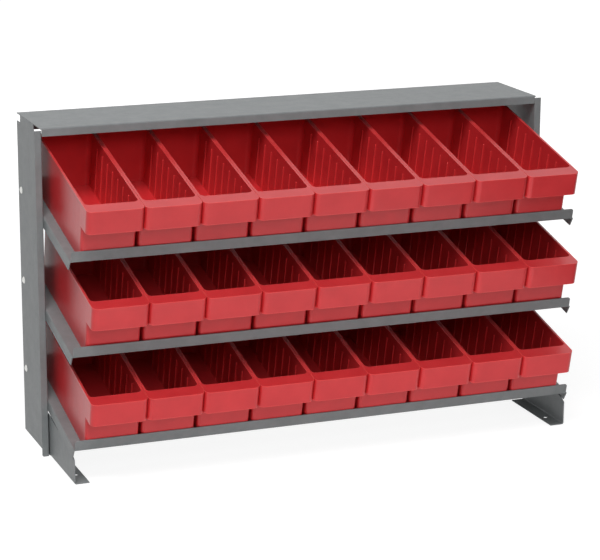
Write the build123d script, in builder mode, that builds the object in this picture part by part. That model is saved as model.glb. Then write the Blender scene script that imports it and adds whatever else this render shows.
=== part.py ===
from build123d import *
import os
from math import cos, radians, sin, tan

# Bench rack with three sloped shelves of nine lift-out drawers.
# Millimetres. X runs to the right, Y to the back and Z up.
# The origin is midway between the two bench holes of the feet, on the bench top.

# Steel sheet
sheet = 1.5
bend_inner = 0.5
fit_gap = 0.3

# Drawer
drawer_height = 99.5
drawer_length = 304.8
drawer_body_width = 90.8
drawer_wall = 1.5
drawer_floor = 2.0
drawer_corner = 6.0
upright_edge_slope = 25.0
drawer_inner_corner = 8.0
rim_overhang = 1.85
rim_height = 3.0
rear_lean = 3.5
hood_reach = 34.0
hood_height = 39.0
hood_back = 3.0
hood_corner = 9.5
opening_front = 7.5
rib_count = 7
rib_pitch = 29.95
rib_back_offset = 40.9
rib_width = 2.4
rib_crest = 1.2
rib_depth = 1.3
rib_top_drop = 14.5

# Drawers on the shelves
drawers_per_shelf = 9
drawer_gap = 0.75
side_ledge = 16.875
drawer_shift_x = {"bottom": -0.8, "middle": 4.4, "top": -1.8}
drawer_front_gap = {"bottom": 0.3, "middle": 1.9, "top": 0.5}

# Shelf
shelf_slope = 13.3
shelf_lip = 18.0
shelf_side_lip = 16.0
shelf_lip_corner = 4.0
shelf_nose_cut = 6.0
shelf_rear_margin = 41.78
shelf_overhang = 5.1
bottom_shelf_height = 58.8
hand_room = 51.2
top_clearance = 23.75

# Uprights and top panel
upright_depth = 154.4
upright_rear_margin = 2.4
flange_width = 11.7
flange_corner = 3.0
flange_top_drop = 3.9
panel_front_lip = 13.7
panel_rear_lip = 31.0
panel_rear_lip_relief = 8.0
notch_front_length = 47.0
notch_front_drop = 12.4
notch_rear_length = 22.0
notch_rear_drop = 14.0
panel_tab_width = 12.0

# Feet
foot_flange_width = 25.4
foot_flange_tail = 2.0
foot_bend_inner = 2.0
foot_front_height = 41.0
foot_chamfer_length = 16.4
foot_chamfer_rise = 8.0
foot_top_slope = 9.6
foot_tail = 50.0
foot_joggle_start = 6.0
foot_joggle_length = 5.0
foot_hole = 8.0
foot_hole_inset = 13.8
foot_hole_back = 42.6

# Bolts and nuts
bolt_shank = 6.0
bolt_hole = 6.6
bolt_head = 12.5
bolt_head_height = 3.2
bolt_end_reach = 1.5
nut_across_flats = 10.0
nut_height = 5.0
nut_bore = 6.3
shelf_bolt_drop = 11.5
shelf_bolt_rear_inset = 19.4
shelf_bolt_front_inset = 22.5
foot_bolt_inset = 27.0
foot_bolt_low = 22.0
foot_bolt_high = 52.0

# Derived positions
slope_cos = cos(radians(shelf_slope))
slope_sin = sin(radians(shelf_slope))
upright_share = cos(radians(upright_edge_slope))
bend_outer = bend_inner + sheet
drawer_rim_width = drawer_body_width + 2 * rim_overhang
drawer_pitch = drawer_rim_width + drawer_gap
shelf_width = drawers_per_shelf * drawer_pitch + 2 * side_ledge
shelf_half = shelf_width / 2
web_inner = shelf_half
web_outer = web_inner + sheet
rack_half = web_inner + flange_width
seat_height = sheet + fit_gap
rim_top = seat_height + drawer_height
shelf_pitch = (rim_top + hand_room) / slope_cos
body_back = drawer_length - hood_reach - rim_overhang
drawer_rear = max(drawer_front_gap.values()) + sheet + body_back + rim_overhang
shelf_depth = drawer_rear + shelf_rear_margin
base_depth = shelf_depth * slope_cos + upright_rear_margin - shelf_overhang
foot_front = -foot_hole_back
shelf_front = foot_front - shelf_overhang
upright_rear = foot_front + base_depth
upright_front = upright_rear - upright_depth
shelf_heights = {
    "bottom": bottom_shelf_height,
    "middle": bottom_shelf_height + shelf_pitch,
    "top": bottom_shelf_height + 2 * shelf_pitch,
}
top_rim_peak = (
    shelf_heights["top"]
    + (sheet + drawer_front_gap["top"] + body_back + rim_overhang) * slope_sin
    + rim_top * slope_cos
)
panel_underside = top_rim_peak + top_clearance
rack_height = panel_underside + sheet
foot_outer = shelf_half - sheet

os.makedirs("parts", exist_ok=True)


def shelf_plane(row, x=0.0, s=0.0):
    """Plane of a shelf: X across, Y up the slope and Z square to the deck."""
    origin = (
        x,
        shelf_front + s * slope_cos,
        shelf_heights[row] + s * slope_sin,
    )
    return Plane(origin=origin, x_dir=(1, 0, 0), z_dir=(0, -slope_sin, slope_cos))


def on_shelf(row, s, t):
    """Y and Z in the rack of a point s up the slope and t above the shelf's fold."""
    return (
        shelf_front + s * slope_cos - t * slope_sin,
        shelf_heights[row] + s * slope_sin + t * slope_cos,
    )


# Bolt places, as (Y, Z), on the web of each upright
bolt_rear_y = upright_rear - shelf_bolt_rear_inset
bolt_front_y = upright_front + shelf_bolt_front_inset


def shelf_bolt_place(row, y):
    """Place of a shelf bolt in the side lip, for a given Y."""
    s = (y - shelf_front - shelf_bolt_drop * slope_sin) / slope_cos
    return on_shelf(row, s, -shelf_bolt_drop)


shelf_bolt_places = [
    shelf_bolt_place(row, y) for row in shelf_heights for y in (bolt_front_y, bolt_rear_y)
]
foot_bolt_places = [
    (upright_front + foot_bolt_inset, z) for z in (foot_bolt_low, foot_bolt_high)
]


# Shelf
# The deck and its down-turned side lips are one channel along the slope.
with BuildPart() as shelf_blank:
    with BuildSketch(Plane.XZ) as channel:
        with BuildLine():
            Polyline(
                (-shelf_half, -shelf_side_lip),
                (-shelf_half, sheet),
                (shelf_half, sheet),
                (shelf_half, -shelf_side_lip),
                (shelf_half - sheet, -shelf_side_lip),
                (shelf_half - sheet, 0),
                (sheet - shelf_half, 0),
                (sheet - shelf_half, -shelf_side_lip),
                close=True,
            )
        make_face()
        fillet(channel.vertices().group_by(Axis.Y)[-1], bend_outer)
        inner_folds = [v for v in channel.vertices() if abs(v.Y) < sheet / 4]
        fillet(inner_folds, bend_inner)
    extrude(amount=-shelf_depth)
    # Front lip, turned up, with rounded top corners
    with BuildSketch(Plane.XZ) as lip:
        with Locations((0, shelf_lip / 2)):
            Rectangle(shelf_width - 2 * bend_outer, shelf_lip)
        fillet(lip.vertices().group_by(Axis.Y)[-1], shelf_lip_corner)
    extrude(amount=-sheet)
    front_fold = shelf_blank.edges().filter_by(Axis.X).group_by(Axis.Y)[0].group_by(Axis.Z)[0]
    fillet(front_fold, bend_inner)
    # The side lips are cut back below the front fold
    with BuildSketch(Plane.YZ):
        with BuildLine():
            Polyline(
                (-sheet, 0),
                (0, 0),
                (shelf_nose_cut, -shelf_side_lip),
                (-sheet, -2 * shelf_side_lip),
                close=True,
            )
        make_face()
    extrude(amount=shelf_width, both=True, mode=Mode.SUBTRACT)
    # Bolt holes in the side lips
    for y in (bolt_front_y, bolt_rear_y):
        s = (y - shelf_front - shelf_bolt_drop * slope_sin) / slope_cos
        with BuildSketch(Plane.YZ):
            with Locations((s, -shelf_bolt_drop)):
                Circle(bolt_hole / 2)
        extrude(amount=shelf_width, both=True, mode=Mode.SUBTRACT)

for row in shelf_heights:
    with BuildPart(shelf_plane(row)) as shelf:
        add(shelf_blank.part)
    shelf.part.label = f"{row}_shelf"
    export_step(shelf.part, f"parts/{row}_shelf.step")


# Uprights
# L section: web facing sideways, flange turned outward at the front.
with BuildPart() as right_upright:
    with BuildSketch() as angle:
        with BuildLine():
            Polyline(
                (web_inner, upright_rear),
                (web_inner, upright_front),
                (rack_half, upright_front),
                (rack_half, upright_front + sheet),
                (web_outer, upright_front + sheet),
                (web_outer, upright_rear),
                close=True,
            )
        make_face()
        fold = angle.vertices().sort_by_distance((web_inner, upright_front))
        fillet(fold[0], bend_outer)
        corner = angle.vertices().sort_by_distance((web_outer, upright_front + sheet))
        fillet(corner[0], bend_inner)
    extrude(amount=panel_underside)
    # Rounded lower corner of the flange
    flange_foot = right_upright.edges().filter_by(Axis.Y).group_by(Axis.Z)[0].sort_by(Axis.X)[-1]
    fillet(flange_foot, flange_corner)
    # The web's top corners are cut away beside the panel's lips
    web_flat = upright_front + bend_outer
    with BuildSketch(Plane.YZ.offset(web_inner)):
        with BuildLine():
            Polyline(
                (web_flat, rack_height),
                (web_flat, rack_height - notch_front_drop),
                (upright_front + notch_front_length, rack_height - notch_front_drop),
                (upright_front + notch_front_length, panel_underside - sheet),
                (upright_rear - notch_rear_length, panel_underside - sheet),
                (upright_rear - notch_rear_length, rack_height - notch_rear_drop),
                (upright_rear, rack_height - notch_rear_drop),
                (upright_rear, rack_height),
                close=True,
            )
        make_face()
    extrude(amount=sheet, mode=Mode.SUBTRACT)
    # The flange ends just below the panel's front fold
    with BuildSketch(Plane.XZ.offset(-upright_front)):
        with Locations((web_inner, rack_height - flange_top_drop)):
            Rectangle(flange_width, flange_top_drop, align=Align.MIN)
    extrude(amount=-bend_outer, mode=Mode.SUBTRACT)
    # Tab under the panel, turned inward
    tab_length = upright_depth - notch_front_length - notch_rear_length
    with BuildSketch(Plane.XY.offset(panel_underside - sheet)):
        with Locations((web_outer, upright_front + notch_front_length)):
            Rectangle(panel_tab_width, tab_length, align=(Align.MAX, Align.MIN))
    extrude(amount=sheet)
    # Bolt holes
    with BuildSketch(Plane.YZ.offset(web_inner)):
        with Locations(shelf_bolt_places + foot_bolt_places):
            Circle(bolt_hole / 2)
    extrude(amount=sheet, mode=Mode.SUBTRACT)

with BuildPart() as left_upright:
    mirror(right_upright.part, about=Plane.YZ)

for side, upright in (("right", right_upright), ("left", left_upright)):
    upright.part.label = f"{side}_upright"
    export_step(upright.part, f"parts/{side}_upright.step")


# Top panel, with lips turned down at the front and the rear
with BuildPart() as top_panel:
    with BuildSketch(Plane.YZ.offset(-web_outer)) as cap:
        with BuildLine():
            Polyline(
                (upright_front, rack_height - panel_front_lip),
                (upright_front, rack_height),
                (upright_rear, rack_height),
                (upright_rear, rack_height - panel_rear_lip),
                (upright_rear - sheet, rack_height - panel_rear_lip),
                (upright_rear - sheet, panel_underside),
                (upright_front + sheet, panel_underside),
                (upright_front + sheet, rack_height - panel_front_lip),
                close=True,
            )
        make_face()
        fillet(cap.vertices().group_by(Axis.Y)[-1], bend_outer)
        inner = [v for v in cap.vertices() if abs(v.Z - panel_underside) < sheet / 2]
        fillet(inner, bend_inner)
    extrude(amount=2 * web_outer)
    # The front lip stops at the folds of the uprights
    with BuildSketch(Plane.XZ.offset(-upright_front)):
        with Locations((web_outer, rack_height - bend_outer), (-web_outer, rack_height - bend_outer)):
            Rectangle(2 * bend_outer, 2 * panel_front_lip, align=(Align.CENTER, Align.MAX))
    extrude(amount=-bend_outer, mode=Mode.SUBTRACT)
    # The rear lip stops short of the sides
    with BuildSketch(Plane.XZ.offset(-upright_rear)):
        with Locations((web_outer, rack_height - bend_outer), (-web_outer, rack_height - bend_outer)):
            Rectangle(2 * panel_rear_lip_relief, 2 * panel_rear_lip, align=(Align.CENTER, Align.MAX))
    extrude(amount=bend_outer, mode=Mode.SUBTRACT)

top_panel.part.label = "top_panel"
export_step(top_panel.part, "parts/top_panel.step")


# Feet
# The plate lies inside the shelf's side lip in front and steps out by the sheet
# behind the flange, to lie on the web of the upright.
foot_back = upright_front + foot_tail
joggle_front = upright_front + foot_joggle_start
joggle_back = joggle_front + foot_joggle_length
foot_top = foot_front_height + foot_chamfer_rise
foot_top_back = foot_top + (foot_back - foot_front - foot_chamfer_length) * tan(radians(foot_top_slope))
foot_flange_back = upright_front + foot_flange_tail

with BuildPart() as right_foot:
    with BuildSketch():
        with BuildLine():
            Polyline(
                (foot_outer, foot_front),
                (foot_outer, joggle_front),
                (web_inner, joggle_back),
                (web_inner, foot_back),
                (web_inner - sheet, foot_back),
                (web_inner - sheet, joggle_back),
                (foot_outer - sheet, joggle_front),
                (foot_outer - sheet, foot_front),
                close=True,
            )
        make_face()
    extrude(amount=foot_top_back)
    with BuildSketch(Plane.YZ.offset(foot_outer - 2 * sheet)) as side:
        with BuildLine():
            Polyline(
                (foot_front, 0),
                (foot_front, foot_front_height),
                (foot_front + foot_chamfer_length, foot_top),
                (foot_back, foot_top_back),
                (foot_back, 0),
                close=True,
            )
        make_face()
    extrude(amount=4 * sheet, mode=Mode.INTERSECT)
    # Floor flange, turned inward
    with BuildSketch():
        with Locations((foot_outer, foot_front)):
            Rectangle(foot_flange_width, foot_flange_back - foot_front, align=(Align.MAX, Align.MIN))
    extrude(amount=sheet)
    fold_edges = right_foot.edges().filter_by(Axis.Y)
    outer_fold = fold_edges.sort_by_distance((foot_outer, 0, 0))[0]
    fillet(outer_fold, foot_bend_inner + sheet)
    fold_edges = right_foot.edges().filter_by(Axis.Y)
    inner_fold = fold_edges.sort_by_distance((foot_outer - sheet, 0, sheet))[0]
    fillet(inner_fold, foot_bend_inner)
    # Hole for the bench bolt, and the holes on the upright
    with BuildSketch():
        with Locations((foot_outer - foot_hole_inset, foot_front + foot_hole_back)):
            Circle(foot_hole / 2)
    extrude(amount=sheet, mode=Mode.SUBTRACT)
    with BuildSketch(Plane.YZ.offset(web_inner - sheet)):
        with Locations(foot_bolt_places):
            Circle(bolt_hole / 2)
    extrude(amount=sheet, mode=Mode.SUBTRACT)

with BuildPart() as left_foot:
    mirror(right_foot.part, about=Plane.YZ)

for side, foot in (("right", right_foot), ("left", left_foot)):
    foot.part.label = f"{side}_foot"
    export_step(foot.part, f"parts/{side}_foot.step")


# Bolts and nuts
# A bolt points inward from the web's outer face. The nut sits on the inner sheet.
stack = 2 * sheet
bolt_length = stack + nut_height + bolt_end_reach
dome_radius = ((bolt_head / 2) ** 2 + bolt_head_height**2) / (2 * bolt_head_height)

with BuildPart() as bolt_blank:
    with BuildSketch(Plane.XZ):
        with BuildLine():
            Line((0, -bolt_length), (bolt_shank / 2, -bolt_length))
            Line((bolt_shank / 2, -bolt_length), (bolt_shank / 2, 0))
            Line((bolt_shank / 2, 0), (bolt_head / 2, 0))
            RadiusArc((bolt_head / 2, 0), (0, bolt_head_height), -dome_radius)
            Line((0, bolt_head_height), (0, -bolt_length))
        make_face()
    revolve(axis=Axis.Z)

with BuildPart() as nut_blank:
    with BuildSketch(Plane.XY.offset(-stack)):
        RegularPolygon(nut_across_flats / 2, 6, major_radius=False)
        Circle(nut_bore / 2, mode=Mode.SUBTRACT)
    extrude(amount=-nut_height)


def web_planes(places):
    """Planes on both webs' outer faces, Z pointing out of the rack."""
    planes = []
    for side in (-1, 1):
        for y, z in places:
            planes.append(Plane(origin=(side * web_outer, y, z), x_dir=(0, 1, 0), z_dir=(side, 0, 0)))
    return planes


fasteners = (
    ("shelf_bolts", bolt_blank, shelf_bolt_places),
    ("shelf_nuts", nut_blank, shelf_bolt_places),
    ("foot_bolts", bolt_blank, foot_bolt_places),
    ("foot_nuts", nut_blank, foot_bolt_places),
)
for name, blank, places in fasteners:
    with BuildPart(*web_planes(places)) as fastener:
        add(blank.part)
    fastener.part.label = name
    export_step(fastener.part, f"parts/{name}.step")


# Drawer
# Local frame: X across, Y from the front wall to the back, Z up from the underside.
hood_bottom = drawer_height - hood_height
inner_half = drawer_body_width / 2 - drawer_wall
hood_front = -hood_reach
bottom_back = body_back - rear_lean

# The inside, reaching forward under the front ledge
with BuildPart() as cavity:
    with BuildSketch(Plane.YZ):
        with BuildLine():
            Polyline(
                (drawer_wall, drawer_floor),
                (drawer_wall, hood_bottom),
                (-opening_front, drawer_height),
                (-opening_front, drawer_height + rim_height),
                (body_back - drawer_wall, drawer_height + rim_height),
                (body_back - drawer_wall, drawer_height),
                (bottom_back - drawer_wall, drawer_floor),
                close=True,
            )
        make_face()
    extrude(amount=inner_half, both=True)
    inner_corners = [e for e in cavity.edges() if abs(e.tangent_at(0.5).Z) > upright_share]
    fillet(inner_corners, drawer_inner_corner)

# The finger space under the hood
with BuildPart() as finger_space:
    with BuildSketch(Plane.YZ):
        with BuildLine():
            Polyline(
                (hood_front + drawer_wall, hood_bottom - drawer_wall),
                (hood_front + drawer_wall, drawer_height - drawer_wall),
                (-opening_front - drawer_wall, drawer_height - drawer_wall),
                (0, hood_bottom),
                (0, hood_bottom - drawer_wall),
                close=True,
            )
        make_face()
    extrude(amount=drawer_rim_width / 2 - drawer_wall, both=True)
    hood_insides = finger_space.edges().filter_by(Axis.Z).group_by(Axis.Y)[0]
    fillet(hood_insides, hood_corner - drawer_wall)

with BuildPart() as drawer_blank:
    # Body, with a leaning rear wall
    with BuildSketch(Plane.YZ):
        with BuildLine():
            Polyline(
                (0, 0),
                (bottom_back, 0),
                (body_back, drawer_height),
                (0, drawer_height),
                close=True,
            )
        make_face()
    extrude(amount=drawer_body_width / 2, both=True)
    body_corners = [e for e in drawer_blank.edges() if abs(e.tangent_at(0.5).Z) > upright_share]
    fillet(body_corners, drawer_corner)
    # Hood over the front, as wide as the rim
    with BuildSketch(Plane.XY.offset(hood_bottom)) as hood_plan:
        with Locations((0, hood_front)):
            Rectangle(drawer_rim_width, hood_reach + hood_back, align=(Align.CENTER, Align.MIN))
        fillet(hood_plan.vertices().group_by(Axis.Y)[0], hood_corner)
    extrude(amount=hood_height)
    # Rim, standing out at the sides and the rear
    with BuildSketch(Plane.XY.offset(drawer_height - rim_height)) as rim_plan:
        Rectangle(drawer_rim_width, body_back + rim_overhang, align=(Align.CENTER, Align.MIN))
        fillet(rim_plan.vertices().group_by(Axis.Y)[-1], drawer_corner + rim_overhang)
    extrude(amount=rim_height)
    add(cavity.part, mode=Mode.SUBTRACT)
    add(finger_space.part, mode=Mode.SUBTRACT)
    # Divider ribs on both side walls
    rib_top = drawer_height - rib_top_drop
    for k in range(rib_count):
        y = bottom_back - rib_back_offset - k * rib_pitch
        for side in (-1, 1):
            with BuildSketch(Plane.XY.offset(drawer_floor)):
                with BuildLine():
                    Polyline(
                        (side * (inner_half + drawer_wall / 2), y - rib_width / 2),
                        (side * inner_half, y - rib_width / 2),
                        (side * (inner_half - rib_depth), y - rib_crest / 2),
                        (side * (inner_half - rib_depth), y + rib_crest / 2),
                        (side * inner_half, y + rib_width / 2),
                        (side * (inner_half + drawer_wall / 2), y + rib_width / 2),
                        close=True,
                    )
                make_face()
            extrude(amount=rib_top - drawer_floor)

for row in shelf_heights:
    for i in range(drawers_per_shelf):
        x = drawer_shift_x[row] + (i - (drawers_per_shelf - 1) / 2) * drawer_pitch
        s = sheet + drawer_front_gap[row]
        seat = shelf_plane(row, x, s).offset(seat_height)
        with BuildPart(seat) as drawer:
            add(drawer_blank.part)
        drawer.part.label = f"drawer_{row}_{i + 1}"
        export_step(drawer.part, f"parts/drawer_{row}_{i + 1}.step")
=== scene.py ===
import math

import bpy
from mathutils import Matrix, Vector

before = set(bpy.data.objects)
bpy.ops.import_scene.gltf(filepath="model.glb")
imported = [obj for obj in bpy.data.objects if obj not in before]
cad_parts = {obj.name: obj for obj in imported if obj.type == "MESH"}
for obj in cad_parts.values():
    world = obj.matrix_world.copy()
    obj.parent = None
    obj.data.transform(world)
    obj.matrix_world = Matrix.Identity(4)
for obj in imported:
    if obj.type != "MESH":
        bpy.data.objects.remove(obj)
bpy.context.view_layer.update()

ZINC_NODES = ("shelf_bolts", "shelf_nuts", "foot_bolts", "foot_nuts")
DRAWER_PREFIX = "drawer_"

# Width in metres of the rounding along sharp edges.
EDGE_WIDTH = {"drawer": 0.0006, "zinc": 0.0003, "steel": 0.0004}
EDGE_SEGMENTS = 2
EDGE_ANGLE = math.radians(40)
FLAT_ANGLE = math.radians(1)
WELD_DISTANCE = 1e-5
NORMAL_WEIGHT = 80

# Colours as sRGB levels from 0 to 255.
STEEL_DARK, STEEL_LIGHT = (115, 119, 120), (127, 130, 131)
# The third red is a painted highlight for the drawers' ribs and edges.
RED_DARK, RED_LIGHT, RED_PAINTED_HIGHLIGHT = (198, 42, 47), (209, 49, 53), (250, 92, 88)
ZINC_DARK, ZINC_LIGHT = (200, 201, 198), (236, 236, 232)

# Painted highlight: the drawers are painted lighter, on ribs and edges, where they are
# thinner than this, in metres.
PAINTED_HIGHLIGHT_REACH = 0.0012

# Grey of the floor for the light that it throws back, and for the rays that see it.
FLOOR_BOUNCE = 0.68
FLOOR_SEEN = 0.3
FLOOR_HALF = 12
FLOOR_DROP = 0.0005
# The floor's own glow rises from the object outward until it is plain white.
GLOW_NEAR, GLOW_FAR = 0.8, 3.2
GLOW_AT_OBJECT, GLOW_WHITE = 0.87, 1.0

AMBIENT = 0.12
LAMP_TARGET = (0, 0.1, 0.28)
FRONT_EDGE = (0, -0.1, 0.03)
CARD_OUTLINE = [
    (0.62, -0.36, 0),
    (0.5, -0.62, 0),
    (0.5, -2.2, 0),
    (2.6, -2.2, 0),
    (2.6, -0.2, 0),
    (0.72, -0.2, 0),
]
CARD_BLACK = (0.01, 0.01, 0.01, 1)

# Fitted to the photograph: place in metres, turns in radians, focal length and
# optical centre in pixels of a 600 by 560 picture.
CAM_PLACE = (-1.3528, -3.3802, 1.2518)
CAM_YAW = -0.37110
CAM_PITCH = 0.25786
CAM_ROLL = 0.00469
CAM_FOCAL = 2251.5
CAM_AXIS = (300, 280)
PICTURE = (600, 560)
SENSOR_WIDTH = 36
CLIP_END = 60

# Sockets of the colour form of the mix node.
MIX_FACTOR, MIX_A, MIX_B = 0, 6, 7
MIX_RESULT = 2


def grey(level):
    return (level, level, level, 1)


def linear(r, g, b):
    """Linear colour of an sRGB colour given as 0 to 255."""
    out = []
    for v in (r, g, b):
        v /= 255
        out.append(v / 12.92 if v <= 0.04045 else ((v + 0.055) / 1.055) ** 2.4)
    return (*out, 1)


class Shader:
    """A small helper that adds and joins nodes of one material."""

    def __init__(self, name):
        self.mat = bpy.data.materials.new(name)
        self.mat.use_nodes = True
        self.tree = self.mat.node_tree
        self.bsdf = self.tree.nodes["Principled BSDF"]
        coord = self.tree.nodes.new("ShaderNodeTexCoord")
        self.coord = coord.outputs["Object"]
        self.normal = None

    def add(self, kind, **values):
        node = self.tree.nodes.new(kind)
        for key, value in values.items():
            setattr(node, key, value)
        return node

    def join(self, a, b):
        self.tree.links.new(a, b)

    def feed(self, output, name):
        """Joins an output to a named socket of the surface shader."""
        self.join(output, self.bsdf.inputs[name])

    def fix(self, name, value):
        self.bsdf.inputs[name].default_value = value

    def noise(self, scale, detail=2.0, rough=0.5):
        node = self.add("ShaderNodeTexNoise")
        node.inputs["Scale"].default_value = scale
        node.inputs["Detail"].default_value = detail
        node.inputs["Roughness"].default_value = rough
        self.join(self.coord, node.inputs["Vector"])
        return node.outputs["Fac"]

    def span(self, value, lo, hi, from_lo=0.0, from_hi=1.0):
        node = self.add("ShaderNodeMapRange")
        node.inputs["From Min"].default_value = from_lo
        node.inputs["From Max"].default_value = from_hi
        node.inputs["To Min"].default_value = lo
        node.inputs["To Max"].default_value = hi
        self.join(value, node.inputs["Value"])
        return node.outputs["Result"]

    def blend(self, factor, a, b):
        """Mixes the colour b into a, which is a colour or an output."""
        node = self.add("ShaderNodeMix", data_type="RGBA")
        if isinstance(a, tuple):
            node.inputs[MIX_A].default_value = a
        else:
            self.join(a, node.inputs[MIX_A])
        node.inputs[MIX_B].default_value = b
        self.join(factor, node.inputs[MIX_FACTOR])
        return node.outputs[MIX_RESULT]

    def mottle(self, noise, a, b):
        """Clouds of two colours, sharper than the noise itself."""
        return self.blend(self.span(noise, lo=0, hi=1, from_lo=0.3, from_hi=0.7), a, b)

    def painted_highlight_mask(self, reach):
        """Mask of painted highlight: rises on ribs and edges, where the wall behind the
        surface is thinner than reach.
        """
        node = self.add("ShaderNodeAmbientOcclusion", inside=True, only_local=True, samples=6)
        node.inputs["Distance"].default_value = reach
        return self.span(node.outputs["AO"], lo=1, hi=0, from_lo=0.4, from_hi=0.95)

    def bump(self, height, strength, depth):
        """Adds bumps of a depth in metres to those before them."""
        node = self.add("ShaderNodeBump")
        node.inputs["Strength"].default_value = strength
        node.inputs["Distance"].default_value = depth
        self.join(height, node.inputs["Height"])
        if self.normal is not None:
            self.join(self.normal, node.inputs["Normal"])
        self.normal = node.outputs["Normal"]
        self.feed(self.normal, "Normal")


def powder_coat():
    """Satin grey powder coat: fine orange peel with a slight mottle."""
    s = Shader("steel")
    clouds = s.noise(scale=34, detail=5, rough=0.62)
    s.feed(s.mottle(clouds, linear(*STEEL_DARK), linear(*STEEL_LIGHT)), "Base Color")
    s.feed(s.span(s.noise(scale=120, detail=3), lo=0.42, hi=0.54), "Roughness")
    s.fix("Specular IOR Level", 0.45)
    s.bump(s.noise(scale=1500), strength=0.25, depth=0.0002)
    s.bump(s.noise(scale=420), strength=0.2, depth=0.0003)
    return s.mat


def moulded_red():
    """Satin red polypropylene with a fine moulded grain, and a painted highlight on its ribs
    and edges.
    """
    s = Shader("drawer")
    clouds = s.noise(scale=22, detail=4, rough=0.55)
    body = s.mottle(clouds, linear(*RED_DARK), linear(*RED_LIGHT))
    # Painted highlight: a lighter red is mixed in on the ribs and edges, where the wall is
    # thin.
    s.feed(s.blend(s.painted_highlight_mask(PAINTED_HIGHLIGHT_REACH), body, linear(*RED_PAINTED_HIGHLIGHT)), "Base Color")
    s.feed(s.span(s.noise(scale=90, detail=3), lo=0.26, hi=0.36), "Roughness")
    s.fix("Specular IOR Level", 0.5)
    s.bump(s.noise(scale=1800), strength=0.12, depth=0.0002)
    s.bump(s.noise(scale=14, detail=1), strength=0.08, depth=0.002)
    return s.mat


def zinc_plate():
    """Bright zinc plate with a soft cloudy spangle."""
    s = Shader("zinc")
    spangle = s.noise(scale=260, detail=3)
    s.feed(s.blend(spangle, linear(*ZINC_DARK), linear(*ZINC_LIGHT)), "Base Color")
    s.fix("Metallic", 0.85)
    s.feed(s.span(s.noise(scale=700, detail=3), lo=0.25, hi=0.42), "Roughness")
    s.bump(s.noise(scale=1200), strength=0.1, depth=0.0002)
    return s.mat


def soften(obj, width):
    """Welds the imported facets, clears flat seams and rounds every sharp edge."""
    weld = obj.modifiers.new("weld", "WELD")
    weld.merge_threshold = WELD_DISTANCE
    flat = obj.modifiers.new("flat", "DECIMATE")
    flat.decimate_type = "DISSOLVE"
    flat.angle_limit = FLAT_ANGLE
    bevel = obj.modifiers.new("round", "BEVEL")
    bevel.width = width
    bevel.segments = EDGE_SEGMENTS
    bevel.limit_method = "ANGLE"
    bevel.angle_limit = EDGE_ANGLE
    bevel.use_clamp_overlap = True
    bevel.harden_normals = False
    normals = obj.modifiers.new("normals", "WEIGHTED_NORMAL")
    normals.keep_sharp = False
    normals.weight = NORMAL_WEIGHT


def dress(nodes):
    materials = {"steel": powder_coat(), "drawer": moulded_red(), "zinc": zinc_plate()}
    for name, obj in nodes.items():
        if name.startswith(DRAWER_PREFIX):
            kind = "drawer"
        elif name in ZINC_NODES:
            kind = "zinc"
        else:
            kind = "steel"
        obj.data.materials.clear()
        obj.data.materials.append(materials[kind])
        soften(obj, EDGE_WIDTH[kind])


def flat_piece(name, outline):
    """One flat face in the floor's plane."""
    mesh = bpy.data.meshes.new(name)
    mesh.from_pydata(outline, [], [tuple(range(len(outline)))])
    obj = bpy.data.objects.new(name, mesh)
    bpy.context.scene.collection.objects.link(obj)
    return obj


def seen_directly(tree):
    """1 for rays from the camera or from a mirror, 0 for bounced light."""
    path = tree.nodes.new("ShaderNodeLightPath")
    seen = tree.nodes.new("ShaderNodeMath")
    seen.operation = "MAXIMUM"
    tree.links.new(path.outputs["Is Camera Ray"], seen.inputs[0])
    tree.links.new(path.outputs["Is Glossy Ray"], seen.inputs[1])
    return seen.outputs[0]


def mix_by_ray(tree, bounced, seen, output):
    """Gives bounced light and seen rays a shader each."""
    mix = tree.nodes.new("ShaderNodeMixShader")
    tree.links.new(seen_directly(tree), mix.inputs["Fac"])
    tree.links.new(bounced, mix.inputs[1])
    tree.links.new(seen, mix.inputs[2])
    tree.links.new(mix.outputs[0], output.inputs["Surface"])


def make_floor():
    r = FLOOR_HALF
    obj = flat_piece("floor", [(-r, -r, 0), (r, -r, 0), (r, r, 0), (-r, r, 0)])
    obj.location.z = -FLOOR_DROP
    mat = bpy.data.materials.new("floor")
    mat.use_nodes = True
    tree = mat.node_tree
    tree.nodes.clear()
    out = tree.nodes.new("ShaderNodeOutputMaterial")
    plain = tree.nodes.new("ShaderNodeBsdfDiffuse")
    plain.inputs["Color"].default_value = grey(FLOOR_BOUNCE)
    shadow = tree.nodes.new("ShaderNodeBsdfDiffuse")
    shadow.inputs["Color"].default_value = grey(FLOOR_SEEN)
    coord = tree.nodes.new("ShaderNodeTexCoord")
    reach = tree.nodes.new("ShaderNodeVectorMath")
    reach.operation = "LENGTH"
    glow = tree.nodes.new("ShaderNodeMapRange")
    glow.interpolation_type = "SMOOTHSTEP"
    glow.inputs["From Min"].default_value = GLOW_NEAR
    glow.inputs["From Max"].default_value = GLOW_FAR
    glow.inputs["To Min"].default_value = GLOW_AT_OBJECT
    glow.inputs["To Max"].default_value = GLOW_WHITE
    white = tree.nodes.new("ShaderNodeEmission")
    both = tree.nodes.new("ShaderNodeAddShader")
    tree.links.new(coord.outputs["Object"], reach.inputs[0])
    tree.links.new(reach.outputs["Value"], glow.inputs["Value"])
    tree.links.new(glow.outputs["Result"], white.inputs["Strength"])
    tree.links.new(shadow.outputs[0], both.inputs[0])
    tree.links.new(white.outputs[0], both.inputs[1])
    mix_by_ray(tree, plain.outputs[0], both.outputs[0], out)
    obj.data.materials.append(mat)


def make_world():
    world = bpy.data.worlds.new("studio")
    bpy.context.scene.world = world
    world.use_nodes = True
    tree = world.node_tree
    tree.nodes.clear()
    out = tree.nodes.new("ShaderNodeOutputWorld")
    soft = tree.nodes.new("ShaderNodeBackground")
    soft.inputs["Color"].default_value = grey(1)
    soft.inputs["Strength"].default_value = AMBIENT
    white = tree.nodes.new("ShaderNodeBackground")
    white.inputs["Color"].default_value = grey(1)
    white.inputs["Strength"].default_value = 1.0
    mix_by_ray(tree, soft.outputs[0], white.outputs[0], out)


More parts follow.
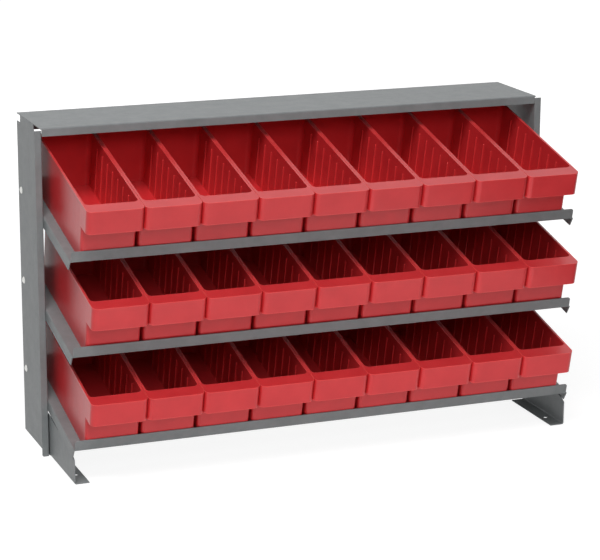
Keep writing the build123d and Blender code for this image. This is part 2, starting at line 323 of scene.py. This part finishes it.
def area_light(name, place, target, size, power, mirrored=True):
    data = bpy.data.lights.new(name, "AREA")
    data.shape = "RECTANGLE"
    data.size, data.size_y = size
    data.energy = power
    obj = bpy.data.objects.new(name, data)
    obj.location = place
    aim = Vector(target) - Vector(place)
    obj.rotation_euler = aim.to_track_quat("-Z", "Y").to_euler()
    obj.visible_camera = False
    obj.visible_glossy = mirrored
    bpy.context.scene.collection.objects.link(obj)


def make_lamps():
    large, medium, strip = (1.6, 1.2), (1.2, 0.9), (1.3, 0.06)
    area_light("key", (-1.25, -1.5, 2.95), LAMP_TARGET, large, power=74)
    area_light("front", (-0.7, -3.2, 1.9), LAMP_TARGET, medium, power=26)
    area_light("low fill", (0, -0.52, 0.02), FRONT_EDGE, strip, power=1.1, mirrored=False)
    area_light("back", (0.9, 3.0, 1.5), LAMP_TARGET, large, power=26, mirrored=False)


def dark_card():
    """A black card on the floor to the right front, seen only in the gloss."""
    obj = flat_piece("card", CARD_OUTLINE)
    mat = bpy.data.materials.new("card")
    mat.use_nodes = True
    bsdf = mat.node_tree.nodes["Principled BSDF"]
    bsdf.inputs["Base Color"].default_value = CARD_BLACK
    bsdf.inputs["Roughness"].default_value = 1.0
    obj.data.materials.append(mat)
    obj.visible_camera = False
    obj.visible_diffuse = False
    obj.visible_shadow = False


def camera_axes():
    """Right, up and backward axes of the camera as the columns of a matrix."""
    turn = Matrix.Rotation(CAM_YAW, 3, "Z")
    right = turn @ Vector((1, 0, 0))
    level = turn @ Vector((0, 1, 0))
    down = Vector((0, 0, -1))
    cp, sp = math.cos(CAM_PITCH), math.sin(CAM_PITCH)
    tilted_down = cp * down - sp * level
    forward = sp * down + cp * level
    cr, sr = math.cos(CAM_ROLL), math.sin(CAM_ROLL)
    x_axis = cr * right - sr * tilted_down
    y_down = sr * right + cr * tilted_down
    return Matrix((x_axis, -y_down, -forward)).transposed()


def make_camera():
    width, height = PICTURE
    data = bpy.data.cameras.new("camera")
    data.sensor_width = SENSOR_WIDTH
    data.lens = CAM_FOCAL * SENSOR_WIDTH / width
    data.shift_x = (width / 2 - CAM_AXIS[0]) / width
    data.shift_y = (CAM_AXIS[1] - height / 2) / width
    data.clip_end = CLIP_END
    obj = bpy.data.objects.new("camera", data)
    obj.matrix_world = Matrix.Translation(CAM_PLACE) @ camera_axes().to_4x4()
    bpy.context.scene.collection.objects.link(obj)
    bpy.context.scene.camera = obj


dress(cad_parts)
make_floor()
make_world()
make_lamps()
dark_card()
make_camera()

bpy.context.scene.view_settings.view_transform = "Standard"
